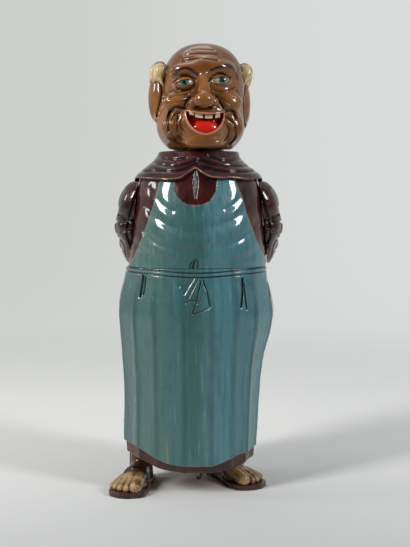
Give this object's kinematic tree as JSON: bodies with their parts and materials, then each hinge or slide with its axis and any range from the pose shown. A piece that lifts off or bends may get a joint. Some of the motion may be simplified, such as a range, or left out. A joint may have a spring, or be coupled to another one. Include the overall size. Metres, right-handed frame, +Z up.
{
  "type": "wooden crank automaton",
  "caption": "Carved and painted wooden figure of a bald laughing man in a habit and bib apron; a crank at the back turns the head through a lantern pinion and a pegged crown wheel.",
  "frame": {"origin": "bottom centre of the bounding box, on the floor the feet stand on", "axes": "+Z up along the head spindle; the figure faces -Y and its crank is at +Y"},
  "size_m": [0.1168, 0.1094, 0.297],
  "materials": {
    "painted_wood": "teal blue-green paint over carved wood, oxblood hem, varnished, worn at edges",
    "habit_paint": "dark oxblood paint over carved wood, glossy varnish",
    "foot_paint": "stained wood with painted sandals, glossy varnish",
    "stained_wood": "warm brown stain, glossy varnish",
    "dark_wood": "dark stain, satin",
    "bare_wood": "bare, sanded",
    "hard_wood": "bare hardwood, burnished by use",
    "steel": "drawn rod",
    "brass": "turned, dulled",
    "felt": "thin wool felt"
  },
  "bodies": {
    "figure": {"skirt": "painted_wood", "back_cover": "habit_paint", "cover_screws": "brass", "torso": "habit_paint", "arm_left": "habit_paint", "arm_right": "habit_paint", "foot_left": "foot_paint", "foot_right": "foot_paint", "waist_dowels": "bare_wood", "arm_dowels": "bare_wood", "leg_dowels": "bare_wood", "bearing_post": "bare_wood", "front_bush": "brass", "rear_bush": "brass", "neck_bush": "brass", "lower_bush": "brass", "felt_washer": "felt"},
    "head": {"head": "stained_wood", "neck_disc": "dark_wood", "head_spindle": "steel", "crown_wheel": "bare_wood", "crown_pegs": "hard_wood", "crown_pin": "steel", "retaining_washer": "brass", "split_pin": "steel"},
    "crank": {"crank_shaft": "steel", "pinion_bobbin": "bare_wood", "pinion_staves": "steel", "pinion_pin": "steel", "thrust_spacer": "brass", "crank_spacer": "brass", "crank_arm": "stained_wood", "crank_nut": "brass", "knob_pin": "steel"},
    "knob": {"crank_knob": "dark_wood"}
  },
  "joints": [
    {"name": "crank_turn", "type": "hinge", "parent": "figure", "child": "crank", "pos_m": [0.00091, 0.00716, 0.076], "axis": [0, 1, 0], "continuous": true},
    {"name": "head_turn", "type": "hinge", "parent": "figure", "child": "head", "pos_m": [0.00091, -0.01084, 0.15], "axis": [0, 0, 1], "continuous": true},
    {"name": "knob_spin", "type": "hinge", "parent": "crank", "child": "knob", "pos_m": [0.00091, 0.04416, 0.048], "axis": [0, 1, 0], "continuous": true}
  ],
  "couplings": [
    {"joint": "head_turn", "follows": "crank_turn", "ratio": -0.5}
  ]
}
